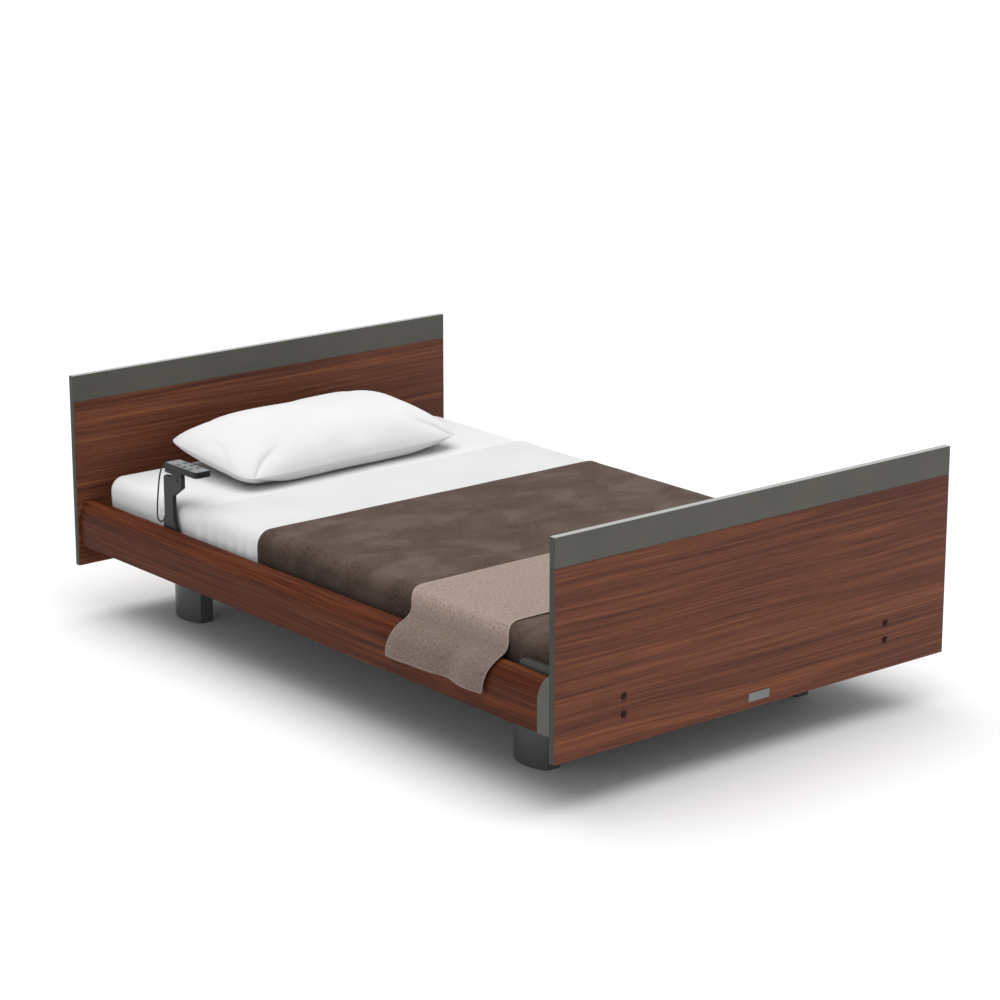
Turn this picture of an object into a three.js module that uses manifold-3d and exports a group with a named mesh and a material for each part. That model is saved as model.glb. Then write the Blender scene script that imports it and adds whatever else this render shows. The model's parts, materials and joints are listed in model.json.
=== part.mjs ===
// An adjustable care bed: four telescoping legs, a tubular frame with a back, seat, thigh and calf
// section, walnut boards and side rails, a wired handset on a post, and the bedding.
// Millimetres. +X is to the right, +Y points to the head end and +Z is up. The origin is on the
// floor, in the middle of the bed.

import * as THREE from 'three';
import { mergeVertices } from 'three/addons/utils/BufferGeometryUtils.js';
import Module from 'manifold-3d';

const wasm = await Module();
wasm.setup();

// ---- Driving dimensions -------------------------------------------------------------------------

const contactGap = 0.3; // left between pieces that touch

const board = { width: 1316, height: 550, thickness: 18, bottom: 142, innerY: 1028 };
board.top = board.bottom + board.height;
board.outerY = board.innerY + board.thickness;
const bandHeight = 75;

const bolt = { x: 442, lowZ: 220, highZ: 265, shankRadius: 4, domeRadius: 9.5, domeHeight: 5 };
const mountBar = { halfWidth: 596, bottom: 202, top: 268, thickness: 11 };

const rail = { outerX: 650, innerX: 612, bottom: 202, shoulder: 275, top: 333 };
const capLength = 52;

const tube = { outerX: 590, width: 30, bottom: 236, top: 268 };
const crossTubeY = [96, -116]; // one under the seat, one under the thighs
const railLug = { length: 60, bottom: 240, top: 262, at: [-800, -300, 300, 830] };

const leg = { innerX: 407, halfLength: 64.5, cornerDepth: 41, bulgeDepth: 59, footY: -711, headY: 797 };
const housing = { wall: 5, floor: 8, top: 232 };
const stage = { clearance: 1, wall: 4, bottom: 10, top: 226 };
const column = { clearance: 1, bottom: 12 };
const liftBeamWidth = 60;
const baseBeam = { width: 70, bottom: 110, top: 150, spineWidth: 80 };

const panel = { bottom: 273, top: 285, halfWidth: 590, calfHalfWidth: 595.7, setback: 11 };
const slot = { length: 150, width: 20, spacingX: 250, spacingY: 90, columns: 4 };
const hinge = { z: 274, pinRadius: 5, clearance: 0.35, earRadius: 10, earWidth: 14 };
const backHingeY = 176;
const kneeHingeY = -24;
const calfHingeY = -354;
const backAngle = 70; // degrees, fully raised
const kneeAngle = 30;

const mattress = { halfWidth: 590, headY: 976, footY: -974, bottom: 286, top: 403 };
const mattressClearance = 4; // kept between two mattress sections when they are folded
const sheetHeadY = 515;
const bedding = { inset: 0.6, thickness: 3, bottom: 292 };
const blanketHeadY = 232;
const throwOver = { headY: -415, footY: -790, thickness: 4, hemZ: 248 };
const stopPlate = { outerX: 609, innerX: 596, headY: -861, footY: -992, bottom: 270, top: 352, returnX: 500 };
const pillow = { x: -22, y: 752, halfLength: 372, halfWidth: 212, bottom: 404, top: 552 };

const lever = { reach: 100, plateOffset: 17, plateThickness: 8, pinRadius: 6, tipRadius: 14 };
const actuator = { backX: 120, kneeX: -120, tubeRadius: 22, rodRadius: 10, boreRadius: 10.5 };

const post = { innerX: 596, outerX: 608, footY: 612, headY: 655, flare: 10, top: 479, bottom: 240 };
const postLug = { bottom: 270, top: 285 }; // where the post is fixed to the back panel's edge
const handset = { x: -580, y: 577, width: 54, length: 158, bottom: 497, top: 513 };
const button = { width: 13, length: 15, top: 514.2, bottom: 511, pocketBottom: 509.3, clearance: 0.4 };
const buttonRows = { back: 28, knee: -2, height: -32 }; // distance from the handset's centre
const cordDiameter = 4.4;
// The cord leaves the handset's head end, hangs in a loop beside the post and goes back into it.
const cordRoute = [
  [-594, 658.5, 505], [-594.4, 663, 504.9], [-595.3, 667.5, 503.6], [-597, 671, 500.4],
  [-599.5, 673, 495.4], [-602.6, 673.8, 488.5], [-605.8, 674, 479], [-608.4, 674.8, 466],
  [-610, 676.2, 450], [-611, 678, 432], [-611.6, 680, 414], [-612, 682.2, 396],
  [-612, 684.2, 379], [-611.8, 685.4, 364], [-611.4, 685, 353.5], [-610.6, 682.6, 346.4],
  [-609, 678.6, 342.4], [-606.8, 674, 341.6], [-604.6, 669.6, 343.4], [-603, 666.4, 347.6],
  [-602.2, 664.6, 353.4], [-602, 662.6, 359], [-602, 659.6, 362.6], [-602, 655.6, 363.6],
];

// ---- Materials ----------------------------------------------------------------------------------

function material(color, roughness, metalness = 0) {
  return new THREE.MeshStandardMaterial({ color, roughness, metalness });
}

const boardWalnut = material('#603e30', 0.5);
const railWalnut = material('#4b2616', 0.35);
const trimPlastic = material('#555850', 0.5);
const legPaint = material('#38393a', 0.45);
const framePaint = material('#4a4c4e', 0.5);
const steel = material('#9a9c9e', 0.35, 0.9);
const platePaint = material('#828284', 0.35, 0.6);
const darkPlastic = material('#2b2c2d', 0.45);
const greyPlastic = material('#6f7173', 0.5);
const keyRubber = material('#c9cacb', 0.6);
const panelPlastic = material('#3d3f41', 0.6);
const linen = material('#efefef', 0.9);
const blanketCloth = material('#584c44', 0.95);
const throwCloth = material('#968278', 0.95);

// ---- Geometry helpers ---------------------------------------------------------------------------

function box([x0, x1], [y0, y1], [z0, z1]) {
  const geometry = new THREE.BoxGeometry(x1 - x0, y1 - y0, z1 - z0);
  return geometry.translate((x0 + x1) / 2, (y0 + y1) / 2, (z0 + z1) / 2);
}

function cylinder(axis, radius, [from, to], [a, b], segments = 16) {
  // a and b are the centre along the two other axes, in X, Y, Z order
  const geometry = new THREE.CylinderGeometry(radius, radius, to - from, segments);
  const middle = (from + to) / 2;
  if (axis === 'x') return geometry.rotateZ(-Math.PI / 2).translate(middle, a, b);
  if (axis === 'y') return geometry.translate(a, middle, b);
  return geometry.rotateX(Math.PI / 2).translate(a, b, middle);
}

function shapeOf(points) {
  return new THREE.Shape(points.map(([u, v]) => new THREE.Vector2(u, v)));
}

function extrude(shape, depth, curveSegments) {
  return new THREE.ExtrudeGeometry(shape, { depth, bevelEnabled: false, curveSegments });
}

function prismAlongX(shape, [x0, x1], arcSteps = 6) {
  // the shape is drawn in (y, z)
  const turn = new THREE.Matrix4().makeBasis(
    new THREE.Vector3(0, 1, 0), new THREE.Vector3(0, 0, 1), new THREE.Vector3(1, 0, 0));
  return extrude(shape, x1 - x0, arcSteps).applyMatrix4(turn).translate(x0, 0, 0);
}

function prismAlongY(shape, [y0, y1], arcSteps = 12) {
  // the shape is drawn in (x, z)
  const turn = new THREE.Matrix4().makeBasis(
    new THREE.Vector3(1, 0, 0), new THREE.Vector3(0, 0, 1), new THREE.Vector3(0, -1, 0));
  return extrude(shape, y1 - y0, arcSteps).applyMatrix4(turn).translate(0, y1, 0);
}

function prismAlongZ(shape, [z0, z1], arcSteps = 8) {
  return extrude(shape, z1 - z0, arcSteps).translate(0, 0, z0);
}

function solid(geometry) {
  const bare = geometry.clone();
  bare.deleteAttribute('normal');
  bare.deleteAttribute('uv');
  const merged = mergeVertices(bare, 1e-4);
  return new wasm.Manifold(new wasm.Mesh({
    numProp: 3,
    vertProperties: new Float32Array(merged.attributes.position.array),
    triVerts: new Uint32Array(merged.index.array),
  }));
}

function geometryOf(manifold) {
  const result = manifold.getMesh();
  const geometry = new THREE.BufferGeometry();
  geometry.setAttribute('position', new THREE.BufferAttribute(result.vertProperties, 3));
  geometry.setIndex(new THREE.BufferAttribute(result.triVerts, 1));
  geometry.computeVertexNormals();
  return geometry;
}

function join(...geometries) {
  return geometryOf(geometries.map(solid).reduce((sum, next) => sum.add(next)));
}

function cut(geometry, ...tools) {
  return geometryOf(tools.map(solid).reduce((left, tool) => left.subtract(tool), solid(geometry)));
}

function common(first, second) {
  return geometryOf(solid(first).intersect(solid(second)));
}

function mirroredX(geometry) {
  // a mirror image turns a mesh inside out, so every triangle's order is reversed too
  const mirrored = mergeVertices(geometry.index ? geometry.clone() : geometry);
  mirrored.scale(-1, 1, 1);
  const index = mirrored.index.array;
  for (let i = 0; i < index.length; i += 3) {
    [index[i], index[i + 1]] = [index[i + 1], index[i]];
  }
  mirrored.computeVertexNormals();
  return mirrored;
}

const bed = new THREE.Group();

function add(name, geometry, look, position = [0, 0, 0]) {
  const mesh = new THREE.Mesh(geometry, look);
  mesh.name = name;
  mesh.position.set(...position);
  bed.add(mesh);
  return mesh;
}

function addPair(name, rightGeometry, look) {
  add(`${name}_right`, rightGeometry, look);
  add(`${name}_left`, mirroredX(rightGeometry), look);
}

// ---- Legs and lift ------------------------------------------------------------------------------

function legOutline(inset) {
  // D section: flat inside face, straight ends and a convex outside face
  const rise = leg.bulgeDepth - leg.cornerDepth;
  const radius = (leg.halfLength ** 2 + rise ** 2) / (2 * rise) - inset;
  const centreX = leg.innerX + leg.bulgeDepth - (radius + inset);
  const half = leg.halfLength - inset;
  const swing = Math.asin(half / radius);
  const outline = new THREE.Shape();
  outline.moveTo(leg.innerX + inset, -half);
  outline.lineTo(centreX + radius * Math.cos(swing), -half);
  outline.absarc(centreX, 0, radius, -swing, swing, false);
  outline.lineTo(leg.innerX + inset, half);
  return outline;
}

const stageInset = housing.wall + stage.clearance;
const columnInset = stageInset + stage.wall + column.clearance;
const legHousing = cut(
  prismAlongZ(legOutline(0), [0, housing.top]),
  prismAlongZ(legOutline(housing.wall), [housing.floor, housing.top + 1]));
const liftStage = cut(
  prismAlongZ(legOutline(stageInset), [stage.bottom, stage.top]),
  prismAlongZ(legOutline(stageInset + stage.wall), [stage.bottom - 1, stage.top + 1]));
const liftColumn = prismAlongZ(legOutline(columnInset), [column.bottom, tube.bottom + 1]);

for (const [end, y] of [['foot', leg.footY], ['head', leg.headY]]) {
  addPair(`leg_housing_${end}`, legHousing.clone().translate(0, y, 0), legPaint);
  addPair(`lift_stage_${end}`, liftStage.clone().translate(0, y, 0), steel);
  const beamHalf = tube.outerX - tube.width - contactGap;
  const halfBeamWidth = liftBeamWidth / 2;
  const beam = join(
    box([-beamHalf, beamHalf], [-halfBeamWidth, halfBeamWidth], [tube.bottom, tube.top]),
    liftColumn, mirroredX(liftColumn));
  add(`lift_beam_${end}`, beam.translate(0, y, 0), framePaint);
}

function baseBeamAt(y) {
  const halfLength = leg.innerX - contactGap;
  const half = baseBeam.width / 2;
  return box([-halfLength, halfLength], [y - half, y + half], [baseBeam.bottom, baseBeam.top]);
}

const halfSpine = baseBeam.spineWidth / 2;
const spine = box([-halfSpine, halfSpine], [leg.footY, leg.headY], [baseBeam.bottom, baseBeam.top]);
add('base_frame', join(baseBeamAt(leg.footY), baseBeamAt(leg.headY), spine), framePaint);

// ---- Bed frame ----------------------------------------------------------------------------------

const tubeEndY = board.innerY - mountBar.thickness - 2 * contactGap;
const tubeInnerX = tube.outerX - tube.width;
const sideTube = join(
  box([tubeInnerX, tube.outerX], [-tubeEndY, tubeEndY], [tube.bottom, tube.top]),
  ...railLug.at.map((y) => box(
    [tube.outerX - 1, rail.innerX - contactGap],
    [y - railLug.length / 2, y + railLug.length / 2],
    [railLug.bottom, railLug.top])));
addPair('side_tube', sideTube, framePaint);

const crossHalf = tubeInnerX - contactGap;
for (const [name, y] of [['seat_cross_tube', crossTubeY[0]], ['thigh_cross_tube', crossTubeY[1]]]) {
  add(name, box([-crossHalf, crossHalf], [-16, 16], [tube.bottom, tube.top]), framePaint, [0, y, 0]);
}

// ---- Boards, with the bar and the bolts that hold each one ---------------------------------------

function boltDome(x, z) {
  const profile = [new THREE.Vector2(0, 0), new THREE.Vector2(bolt.domeRadius, 0)];
  const steps = 4;
  for (let i = 1; i <= steps; i += 1) {
    const angle = (i / steps) * Math.PI / 2;
    const radius = i === steps ? 0 : bolt.domeRadius * Math.cos(angle);
    profile.push(new THREE.Vector2(radius, bolt.domeHeight * Math.sin(angle)));
  }
  const outside = board.outerY + contactGap;
  return new THREE.LatheGeometry(profile, 16).translate(x, outside, z);
}

function boardPanel() {
  const half = board.width / 2;
  const top = board.top - bandHeight - contactGap;
  const sheet = box([-half, half], [board.innerY, board.outerY], [board.bottom, top]);
  const holes = boltPlaces().map(([x, z]) => cylinder(
    'y', bolt.shankRadius + contactGap, [board.innerY - 1, board.outerY + 1], [x, z], 12));
  return cut(sheet, ...holes);
}

function boltPlaces() {
  return [-bolt.x, bolt.x].flatMap((x) => [bolt.lowZ, bolt.highZ].map((z) => [x, z]));
}

function mountBarWithBolts() {
  const back = board.innerY - contactGap;
  const bar = box([-mountBar.halfWidth, mountBar.halfWidth],
    [back - mountBar.thickness, back], [mountBar.bottom, mountBar.top]);
  const shanks = boltPlaces().map(([x, z]) => cylinder(
    'y', bolt.shankRadius, [back - 1, board.outerY + 1], [x, z], 12));
  const domes = boltPlaces().map(([x, z]) => boltDome(x, z));
  return join(bar, ...shanks, ...domes);
}

const halfBoard = board.width / 2;
const boardBand = box(
  [-halfBoard, halfBoard], [board.innerY, board.outerY], [board.top - bandHeight, board.top]);
for (const [end, turn] of [['head', 0], ['foot', Math.PI]]) {
  add(`${end}board_panel`, boardPanel().rotateZ(turn), boardWalnut);
  add(`${end}board_band`, boardBand.clone().rotateZ(turn), trimPlastic);
  add(`${end}board_mount_bar`, mountBarWithBolts().rotateZ(turn), steel);
}

const plate = { halfWidth: 35.5, bottom: 159, top: 181, thickness: 1.5 };
const plateBack = -board.outerY - contactGap;
add('nameplate', box([-plate.halfWidth, plate.halfWidth],
  [plateBack - plate.thickness, plateBack], [plate.bottom, plate.top]), platePaint);

// ---- Side rails and their foot-end caps ----------------------------------------------------------

function railOutline() {
  const outline = new THREE.Shape();
  outline.moveTo(rail.innerX, rail.bottom);
  outline.lineTo(rail.outerX, rail.bottom);
  outline.lineTo(rail.outerX, rail.shoulder);
  outline.absellipse(rail.innerX, rail.shoulder, rail.outerX - rail.innerX,
    rail.top - rail.shoulder, 0, Math.PI / 2, false, 0);
  return outline;
}

const railEnd = board.innerY - contactGap;
addPair('side_rail', prismAlongY(railOutline(), [-railEnd + capLength, railEnd]), railWalnut);
addPair('rail_end_cap',
  prismAlongY(railOutline(), [-railEnd, -railEnd + capLength - contactGap]), trimPlastic);

// ---- Lying surface ------------------------------------------------------------------------------

function slots([y0, y1]) {
  const rows = Math.floor((y1 - y0 - 60) / slot.spacingY);
  const firstY = (y0 + y1) / 2 - ((rows - 1) / 2) * slot.spacingY;
  const cutters = [];
  for (let row = 0; row < rows; row += 1) {
    for (let place = 0; place < slot.columns; place += 1) {
      const x = (place - (slot.columns - 1) / 2) * slot.spacingX;
      const y = firstY + row * slot.spacingY;
      cutters.push(box([x - slot.length / 2, x + slot.length / 2],
        [y - slot.width / 2, y + slot.width / 2], [panel.bottom - 1, panel.top + 1]));
    }
  }
  return cutters;
}

function hingeEars(hingeY, towards, places) {
  // towards is +1 where the panel lies on the head side of the hinge, -1 on the foot side
  const reach = towards * (panel.setback + 12);
  const [y0, y1] = [hingeY, hingeY + reach].sort((a, b) => a - b);
  return places.map((x) => join(
    box([x, x + hinge.earWidth], [y0, y1], [hinge.z - hinge.earRadius, hinge.z + hinge.earRadius]),
    cylinder('x', hinge.earRadius, [x, x + hinge.earWidth], [hingeY, hinge.z])));
}

function bedPanel([y0, y1], hinges, halfWidth = panel.halfWidth) {
  const sheet = box([-halfWidth, halfWidth], [y0, y1], [panel.bottom, panel.top]);
  const ears = hinges.flatMap(([y, towards, places]) => hingeEars(y, towards, places));
  const bores = hinges.map(([y]) => cylinder(
    'x', hinge.pinRadius + hinge.clearance, [-halfWidth - 1, halfWidth + 1], [y, hinge.z]));
  return cut(join(sheet, ...ears), ...slots([y0, y1]), ...bores);
}

const outerEars = [-500, -214, 200, 486];
const innerEars = outerEars.map((x) => x + hinge.earWidth + 1);
const setback = panel.setback;
add('back_panel', bedPanel([backHingeY + setback, mattress.headY], [[backHingeY, 1, outerEars]]),
  panelPlastic);
add('seat_panel', bedPanel([kneeHingeY + setback, backHingeY - setback],
  [[backHingeY, -1, innerEars], [kneeHingeY, 1, innerEars]]), panelPlastic);
add('thigh_panel', bedPanel([calfHingeY + setback, kneeHingeY - setback],
  [[kneeHingeY, -1, outerEars], [calfHingeY, 1, innerEars]]), panelPlastic);
add('calf_panel', bedPanel([mattress.footY, calfHingeY - setback],
  [[calfHingeY, -1, outerEars]], panel.calfHalfWidth), panelPlastic);
for (const [name, y] of [['back', backHingeY], ['knee', kneeHingeY], ['calf', calfHingeY]]) {
  add(`${name}_hinge_pin`, cylinder('x', hinge.pinRadius, [-560, 560], [y, hinge.z]), steel);
}

// ---- Levers and actuators -----------------------------------------------------------------------

function sweep(degrees) {
  return THREE.MathUtils.degToRad(degrees / 2);
}

function leverWithPin(x, hingeY, towards, degrees) {
  // The lever starts half its swing behind the vertical, so that its pin moves nearly level.
  const tipY = hingeY - towards * lever.reach * Math.sin(sweep(degrees));
  const tipZ = hinge.z - lever.reach * Math.cos(sweep(degrees));
  const rootTop = panel.bottom - contactGap;
  const near = hingeY + towards * 26;
  const far = hingeY + towards * 72;
  const angle = Math.atan2(rootTop - tipZ, near - tipY) + towards * Math.PI / 2;
  const corner = [tipY + lever.tipRadius * Math.cos(angle), tipZ + lever.tipRadius * Math.sin(angle)];
  const outline = shapeOf([
    corner, [near, rootTop], [far, rootTop], [tipY + towards * lever.tipRadius, tipZ - 3]]);
  const plates = [-1, 1].map((side) => {
    const inside = x + side * lever.plateOffset;
    const span = [inside, inside + side * lever.plateThickness].sort((a, b) => a - b);
    return join(prismAlongX(outline, span), cylinder('x', lever.tipRadius, span, [tipY, tipZ]));
  });
  const pin = cylinder('x', lever.pinRadius,
    [x - lever.plateOffset - 2, x + lever.plateOffset + 2], [tipY, tipZ]);
  const foot = box([x - 60, x + 60], [near, far].sort((a, b) => a - b), [rootTop - 6, rootTop]);
  return join(...plates, pin, foot);
}

function rodWithFork(x, hingeY, towards, degrees) {
  // The fork's upright slot lets the lever's pin rise and fall while the rod moves level.
  const drop = lever.reach * (1 - Math.cos(sweep(degrees)));
  const high = hinge.z - lever.reach * Math.cos(sweep(degrees));
  const level = high - drop / 2;
  const tipY = hingeY - towards * lever.reach * Math.sin(sweep(degrees));
  const headHalf = drop / 2 + lever.pinRadius + 8;
  const slotHalf = drop / 2 + lever.pinRadius + 1.5;
  const slotWidth = lever.pinRadius + 2.2;
  const head = cut(
    box([x - 12, x + 12], [tipY - 17, tipY + 17], [level - headHalf, level + headHalf]),
    box([x - 13, x + 13], [tipY - slotWidth, tipY + slotWidth], [level - slotHalf, level + slotHalf]));
  const ends = [tipY - towards * 15, tipY - towards * 290].sort((a, b) => a - b);
  return { geometry: join(head, cylinder('y', actuator.rodRadius, ends, [x, level])), level, tipY };
}

function actuatorHousing(x, towards, { level, tipY }) {
  // an outer tube around the rod, a gear case, a motor across it and a hanger up to the frame
  const along = (near, far) => [tipY - towards * near, tipY - towards * far].sort((a, b) => a - b);
  const tubeSpan = along(140, 300);
  const body = join(
    cylinder('y', actuator.tubeRadius, tubeSpan, [x, level]),
    box([x - 30, x + 30], along(298, 360), [level - 28, level + 26]),
    cylinder('x', 24, [x - 110, x - 25], [tipY - towards * 328, level]),
    box([x - 14, x + 14], along(310, 350), [level + 20, tube.bottom - 10]));
  return cut(body, cylinder('y', actuator.boreRadius, along(139, 297), [x, level]));
}

for (const [name, x, y, towards, degrees] of [
  ['back', actuator.backX, backHingeY, 1, backAngle],
  ['knee', actuator.kneeX, kneeHingeY, -1, kneeAngle],
]) {
  const rod = rodWithFork(x, y, towards, degrees);
  add(`${name}_lever`, leverWithPin(x, y, towards, degrees), framePaint);
  add(`${name}_actuator_rod`, rod.geometry, steel);
  add(`${name}_actuator`, actuatorHousing(x, towards, rod), darkPlastic);
}

const beamSide = leg.headY - liftBeamWidth / 2 - contactGap;
add('control_box', cut(
  box([-110, 110], [beamSide - 130, beamSide], [196, tube.top]),
  box([-14, 14], [beamSide - 131, beamSide - 115], [222, 242])), darkPlastic);

// ---- Bedding ------------------------------------------------------------------------------------

function wedge(hingeY, towards, degrees, [x0, x1], shift = mattressClearance) {
  // The space that a section must leave free beside a hinge that folds its top side inwards.
  const height = 400;
  const lean = height * Math.tan(sweep(degrees));
  const edge = hingeY + towards * shift;
  return prismAlongX(shapeOf(towards > 0
    ? [[edge, hinge.z], [edge + lean, hinge.z + height], [edge - 900, hinge.z + height], [edge - 900, hinge.z]]
    : [[edge, hinge.z], [edge + 900, hinge.z], [edge + 900, hinge.z + height], [edge - lean, hinge.z + height]],
  ), [x0, x1]);
}

const wideX = [-700, 700];
const backWedge = wedge(backHingeY, 1, backAngle, wideX);
const seatHeadWedge = wedge(backHingeY, -1, backAngle, wideX);
const seatFootWedge = wedge(kneeHingeY, 1, kneeAngle, wideX);
const thighWedge = wedge(kneeHingeY, -1, kneeAngle, wideX);

function mattressBlock([y0, y1]) {
  return box([-mattress.halfWidth, mattress.halfWidth], [y0, y1], [mattress.bottom, mattress.top]);
}

function cover([y0, y1]) {
  // a thin cloth over the top and down both sides of the mattress
  const inner = mattress.halfWidth + bedding.inset;
  const outer = inner + bedding.thickness;
  const roof = mattress.top + bedding.inset;
  return prismAlongY(shapeOf([
    [-inner, bedding.bottom], [-inner, roof], [inner, roof], [inner, bedding.bottom],
    [outer, bedding.bottom], [outer, roof + bedding.thickness],
    [-outer, roof + bedding.thickness], [-outer, bedding.bottom],
  ].reverse()), [y0, y1]);
}

const calfTopY = calfHingeY - 1.5;
add('mattress_back', cut(mattressBlock([backHingeY, mattress.headY]), backWedge), linen);
add('mattress_seat', cut(mattressBlock([kneeHingeY, backHingeY]), seatHeadWedge, seatFootWedge), linen);
add('mattress_thigh', cut(mattressBlock([calfHingeY + 1.5, kneeHingeY]), thighWedge), linen);
add('mattress_calf', mattressBlock([mattress.footY, calfTopY]), linen);
add('top_sheet', cut(cover([blanketHeadY, sheetHeadY]), backWedge), linen);
add('blanket_thigh', cut(cover([calfHingeY + 1.5, kneeHingeY]), thighWedge), blanketCloth);
add('blanket_calf', cover([mattress.footY, calfTopY]), blanketCloth);

function throwSide() {
  // the line that the throw follows from the mattress edge over the side rail, as [x, z]
  const line = [[590, 409.4], [595.5, 408.6], [597.3, 403], [599, 385], [603, 360], [612, 338.5]];
  for (const degrees of [68, 46, 26, 10]) {
    const angle = THREE.MathUtils.degToRad(degrees);
    line.push([rail.innerX + (rail.outerX - rail.innerX + 4) * Math.cos(angle),
      rail.shoulder + (rail.top - rail.shoulder + 4.5) * Math.sin(angle)]);
  }
  line.push([rail.outerX + 4, throwOver.hemZ]);
  return line;
}

function thicken(line, thickness) {
  // a closed outline of even thickness around an open line
  const offset = (side) => line.map(([x, z], i) => {
    const before = line[Math.max(i - 1, 0)];
    const after = line[Math.min(i + 1, line.length - 1)];
    const [dx, dz] = [after[0] - before[0], after[1] - before[1]];
    const length = Math.hypot(dx, dz);
    return [x - side * (dz / length) * thickness / 2, z + side * (dx / length) * thickness / 2];
  });
  return [...offset(1), ...offset(-1).reverse()];
}

const rightSide = throwSide();
const leftSide = rightSide.map(([x, z]) => [-x, z]).reverse();
add('throw_runner', prismAlongY(shapeOf(thicken([...leftSide, ...rightSide], throwOver.thickness)),
  [throwOver.footY, throwOver.headY]), throwCloth);

function stopOutline() {
  // an L around the mattress corner, rounded where it turns
  const { outerX, innerX, headY, footY, returnX } = stopPlate;
  const outline = new THREE.Shape();
  outline.moveTo(innerX, headY);
  outline.lineTo(innerX, mattress.footY - 4);
  outline.lineTo(returnX, mattress.footY - 4);
  outline.lineTo(returnX, footY);
  outline.lineTo(outerX - 24, footY);
  outline.absarc(outerX - 24, footY + 24, 24, -Math.PI / 2, 0, false);
  outline.lineTo(outerX, headY);
  return outline;
}

const stopBlank = prismAlongZ(stopOutline(), [stopPlate.bottom, stopPlate.top]);
const stopSide = new THREE.Shape();
stopSide.moveTo(stopPlate.footY - 1, stopPlate.bottom - 1);
stopSide.lineTo(stopPlate.headY + 1, stopPlate.bottom - 1);
stopSide.absarc(stopPlate.headY - 22, stopPlate.top - 22, 22, 0, Math.PI / 2, false);
stopSide.lineTo(stopPlate.footY - 1, stopPlate.top);
addPair('mattress_stop', common(stopBlank, prismAlongX(stopSide, [400, 700])), trimPlastic);

function pillowGeometry() {
  // a squared-off ellipsoid, flat enough underneath to lie on the mattress
  const geometry = new THREE.SphereGeometry(1, 28, 14);
  const place = geometry.attributes.position;
  const square = (value, power) => Math.sign(value) * Math.abs(value) ** power;
  const centreZ = (pillow.bottom + pillow.top) / 2;
  const halfHeight = (pillow.top - pillow.bottom) / 2;
  for (let i = 0; i < place.count; i += 1) {
    const around = Math.hypot(place.getX(i), place.getZ(i));
    const [c, s] = around < 1e-6 ? [0, 0] : [place.getX(i) / around, place.getZ(i) / around];
    const spread = square(around, 0.5);
    place.setXYZ(i,
      pillow.x + pillow.halfLength * spread * square(c, 0.45),
      pillow.y - pillow.halfWidth * spread * square(s, 0.45),
      centreZ + halfHeight * square(place.getY(i), 0.9));
  }
  return mergeVertices(geometry.deleteAttribute('uv').deleteAttribute('normal'), 1e-3);
}

add('pillow', pillowGeometry(), linen);

// ---- Handset, its post on the back section, and its cord ------------------------------------------

function postOutline() {
  // drawn in (y, z): an upright with a flared foot and a bracket for the handset's hook
  const { footY, headY, flare, top, bottom } = post;
  return shapeOf([
    [footY - 2 * flare, bottom], [headY + flare, bottom], [headY + flare, bottom + 78],
    [headY, bottom + 118], [headY, top - 6], [headY - 6, top], [footY + 4, top],
    [footY + 4, top + 8], [footY - 20, top + 8], [footY - 20, top - 6], [footY - 28, top - 6],
    [footY - 28, top + 8], [footY - 45, top + 8], [footY - 45, top - 23],
    [footY, top - 53], [footY, bottom + 120], [footY - 2 * flare, bottom + 78]].reverse());
}

const lugSpan = [-post.innerX - 1, -panel.halfWidth - contactGap];
add('handset_post', join(
  prismAlongX(postOutline(), [-post.outerX, -post.innerX]),
  box(lugSpan, [post.footY, post.headY], [postLug.bottom, postLug.top])), darkPlastic);

function roundedBlock(width, length, radius, span, arcSteps = 3) {
  const [u, v] = [width / 2, length / 2];
  const outline = new THREE.Shape();
  outline.moveTo(-u + radius, -v);
  outline.absarc(u - radius, -v + radius, radius, -Math.PI / 2, 0, false);
  outline.absarc(u - radius, v - radius, radius, 0, Math.PI / 2, false);
  outline.absarc(-u + radius, v - radius, radius, Math.PI / 2, Math.PI, false);
  outline.absarc(-u + radius, -v + radius, radius, Math.PI, 1.5 * Math.PI, false);
  return prismAlongZ(outline, span, arcSteps);
}

const buttonPlaces = Object.entries(buttonRows).flatMap(([name, offset]) => [
  [`button_${name}_up`, handset.x - 12, handset.y + offset],
  [`button_${name}_down`, handset.x + 12, handset.y + offset]]);
const pockets = buttonPlaces.map(([, x, y]) => roundedBlock(
  button.width + 2 * button.clearance, button.length + 2 * button.clearance, 3.4,
  [button.pocketBottom, handset.top + 1]).translate(x, y, 0));
const hookTop = handset.bottom + 1;
const hook = box([-post.outerX, -post.innerX],
  [post.footY - 27.5, post.footY - 20.5], [post.top - 4, hookTop]);
const hookRib = box([-post.outerX, -post.innerX],
  [post.footY - 44, post.headY - 8], [post.top + 8 + contactGap, hookTop]);
add('handset_body', cut(join(
  roundedBlock(handset.width, handset.length, 12, [handset.bottom, handset.top], 5)
    .translate(handset.x, handset.y, 0), hook, hookRib), ...pockets), greyPlastic);
for (const [name, x, y] of buttonPlaces) {
  add(name, roundedBlock(button.width, button.length, 3, [button.bottom, button.top]), keyRubber,
    [x, y, 0]);
}

function cordGeometry() {
  const curve = new THREE.CatmullRomCurve3(cordRoute.map((point) => new THREE.Vector3(...point)));
  const section = new THREE.Shape();
  section.absarc(0, 0, cordDiameter / 2, 0, 2 * Math.PI, false);
  return new THREE.ExtrudeGeometry(section,
    { steps: 44, extrudePath: curve, bevelEnabled: false, curveSegments: 4 });
}

add('handset_cord', cordGeometry(), darkPlastic);

export default bed;
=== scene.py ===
"""An adjustable care bed: looks, bedding and cord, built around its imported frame.

Metres, +X to the right, +Y to the head end, +Z up, with the origin on the floor in mid-bed.
"""

import json
import math

import bmesh
import bpy
import numpy as np
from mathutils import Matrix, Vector, noise


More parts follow.
